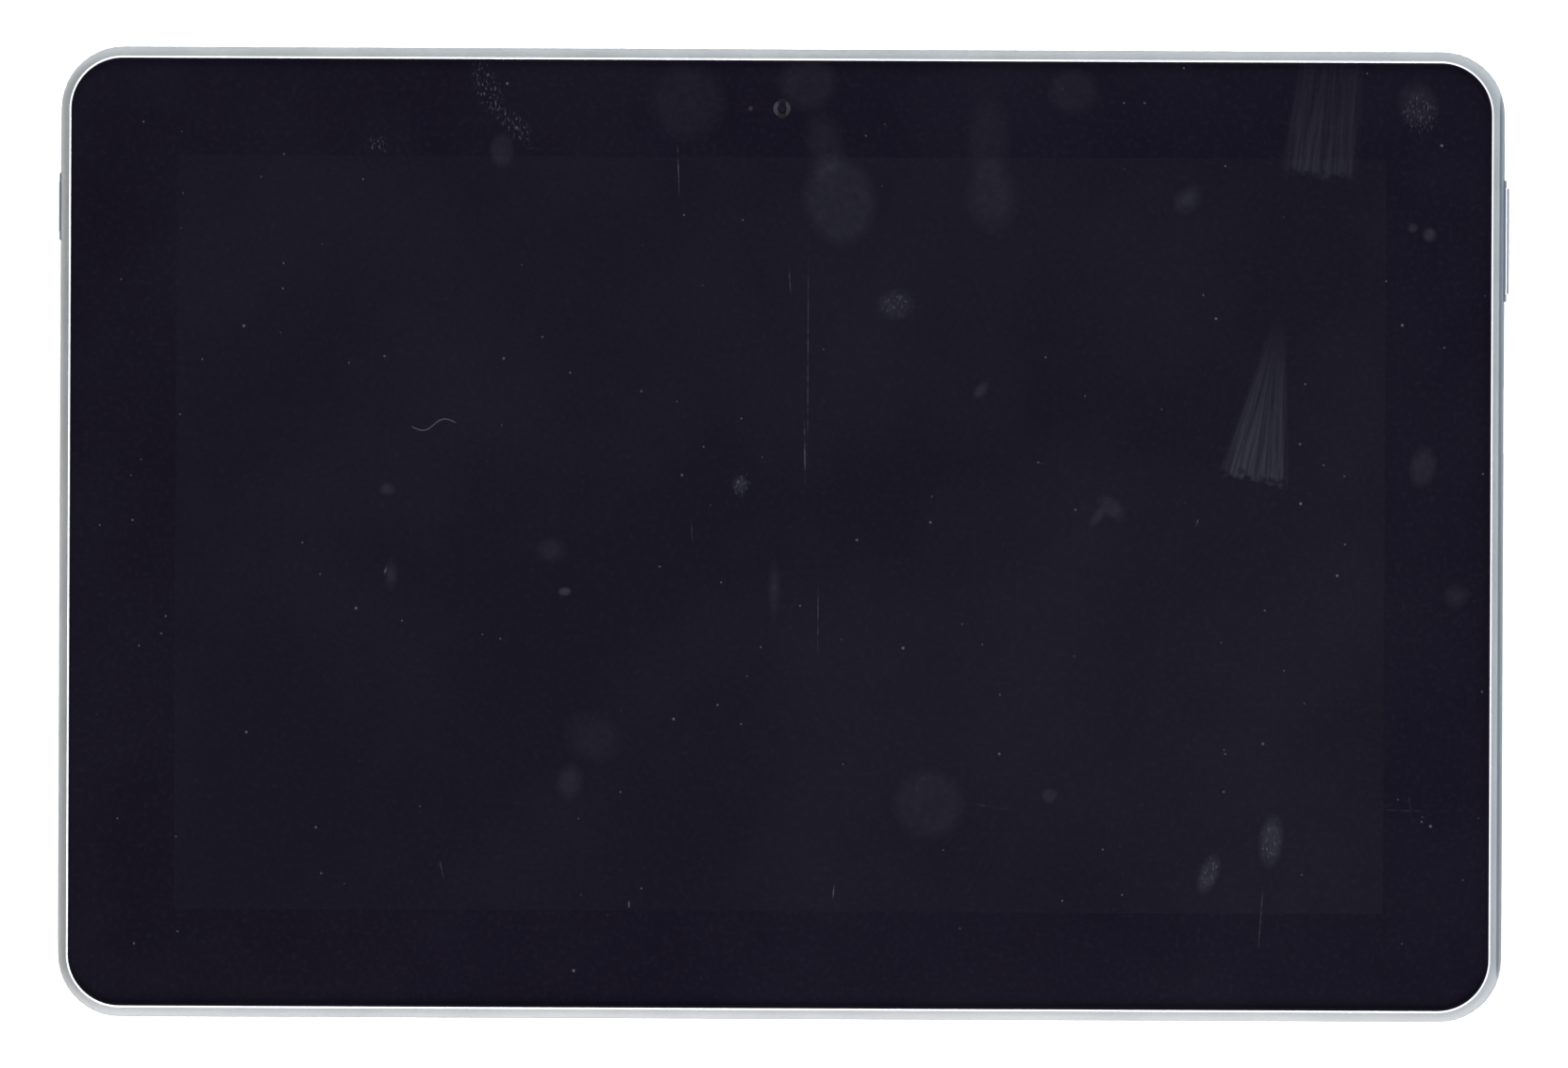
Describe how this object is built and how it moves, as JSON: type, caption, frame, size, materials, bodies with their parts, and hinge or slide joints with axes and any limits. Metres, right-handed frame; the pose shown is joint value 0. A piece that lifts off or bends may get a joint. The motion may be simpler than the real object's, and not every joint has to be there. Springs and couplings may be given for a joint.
{
  "type": "tablet computer",
  "caption": "Slim flat tablet computer with a black-bordered glass front, a thin silver rim, a moulded back, two side keys and cameras front and back",
  "frame": {"origin": "centre of the flat back face that the tablet rests on", "axes": "X runs along the long side, Y points to the long edge with the front camera, Z points out of the screen"},
  "size_m": [0.2603, 0.1738, 0.0099],
  "materials": {
    "antenna_cables": "thin black coaxial cable with plated plugs",
    "antennas": "black carrier with copper foil",
    "audio_board": "dark blue-green circuit board",
    "backlight_tray": "pressed bright steel",
    "battery_board": "green circuit board",
    "battery_cell_left": "silver laminated pouch foil",
    "battery_cell_right": "silver laminated pouch foil",
    "battery_lead": "orange flexible circuit",
    "battery_tape": "black adhesive tape",
    "board_connectors": "cream moulded connectors",
    "board_screws": "black-zinc steel",
    "camera_flex": "dark flexible circuit",
    "camera_lenses": "coated dark lens glass",
    "card_reader": "folded stainless sheet",
    "chassis_screws": "plain zinc steel",
    "colour_filter_pane": "thin display glass",
    "cover_glass": "polished glass, black printed border on its back",
    "display_flex": "orange polyimide flexible circuit",
    "driver_chip": "bare silicon",
    "dust_gaskets": "black soft foam",
    "front_camera": "black moulded housing",
    "front_frame": "satin silver paint on metal, polished bevel next to the glass",
    "glass_adhesive": "black double-sided adhesive foam",
    "headphone_jack": "black moulded nylon",
    "light_bar": "white board with yellow phosphor lamps",
    "light_guide": "clear acrylic with fine printed dots",
    "light_sensor": "dark rubber holder and clear-topped sensor",
    "main_board": "dark blue-green solder mask on glass-fibre board",
    "memory_chips": "black moulded chips",
    "microphone": "plated metal can",
    "mid_frame": "cast magnesium-like grey metal, as cast with machined seats",
    "optical_films": "translucent white diffuser and prism films",
    "polarisers": "dark neutral polarising film",
    "port_board": "dark blue-green circuit board",
    "port_flex": "orange polyimide flexible circuit",
    "power_button": "bright satin metal-finish key",
    "power_chip": "black moulded chip",
    "processor": "black moulded chip",
    "rear_camera": "black moulded housing",
    "rear_cover": "fine matt moulded plastic, dark blue grey",
    "rear_ring": "turned bright ring",
    "rear_window": "polished glass window",
    "reflector_sheet": "bright white reflective film",
    "rocker_bracket": "folded stainless sheet",
    "rocker_pin": "plain steel pin",
    "shield_cans": "tinned pressed steel",
    "side_board": "dark blue-green circuit board",
    "side_flexes": "orange polyimide flexible circuits",
    "side_switches": "pale nylon switch bodies",
    "speaker_gaskets": "black soft foam",
    "speaker_membranes": "dark thin film",
    "speaker_meshes": "fine black woven mesh",
    "speakers": "black moulded speaker boxes",
    "tft_pane": "thin display glass with fine wiring",
    "touch_flex": "orange polyimide flexible circuit",
    "touch_sensor": "clear film with fine conductor grid",
    "usb_shell": "nickel-plated steel",
    "usb_tongue": "black moulded nylon",
    "volume_rocker": "bright satin metal-finish key",
    "wireless_module": "tinned steel lid"
  },
  "bodies": {
    "housing": {"antenna_cables": "antenna_cables", "antennas": "antennas", "audio_board": "audio_board", "backlight_tray": "backlight_tray", "battery_board": "battery_board", "battery_cell_left": "battery_cell_left", "battery_cell_right": "battery_cell_right", "battery_lead": "battery_lead", "battery_tape": "battery_tape", "board_connectors": "board_connectors", "board_screws": "board_screws", "camera_flex": "camera_flex", "camera_lenses": "camera_lenses", "card_reader": "card_reader", "chassis_screws": "chassis_screws", "colour_filter_pane": "colour_filter_pane", "cover_glass": "cover_glass", "display_flex": "display_flex", "driver_chip": "driver_chip", "dust_gaskets": "dust_gaskets", "front_camera": "front_camera", "front_frame": "front_frame", "glass_adhesive": "glass_adhesive", "headphone_jack": "headphone_jack", "light_bar": "light_bar", "light_guide": "light_guide", "light_sensor": "light_sensor", "main_board": "main_board", "memory_chips": "memory_chips", "microphone": "microphone", "mid_frame": "mid_frame", "optical_films": "optical_films", "polarisers": "polarisers", "port_board": "port_board", "port_flex": "port_flex", "power_chip": "power_chip", "processor": "processor", "rear_camera": "rear_camera", "rear_cover": "rear_cover", "rear_ring": "rear_ring", "rear_window": "rear_window", "reflector_sheet": "reflector_sheet", "rocker_bracket": "rocker_bracket", "shield_cans": "shield_cans", "side_board": "side_board", "side_flexes": "side_flexes", "side_switches": "side_switches", "speaker_gaskets": "speaker_gaskets", "speaker_membranes": "speaker_membranes", "speaker_meshes": "speaker_meshes", "speakers": "speakers", "tft_pane": "tft_pane", "touch_flex": "touch_flex", "touch_sensor": "touch_sensor", "usb_shell": "usb_shell", "usb_tongue": "usb_tongue", "wireless_module": "wireless_module"},
    "power_key": {"power_button": "power_button"},
    "volume_key": {"volume_rocker": "volume_rocker", "rocker_pin": "rocker_pin"}
  },
  "joints": [
    {"name": "power_press", "type": "slide", "parent": "housing", "child": "power_key", "axis": [1, 0, 0], "range_m": [0, 0.0003], "stiffness_N_per_m": 400},
    {"name": "volume_rock", "type": "hinge", "parent": "housing", "child": "volume_key", "pos_m": [0.1265, 0.0531, 0.004], "axis": [0, 0, 1], "range_deg": [-1.2, 1.2], "stiffness_Nm_per_rad": 0.04}
  ]
}
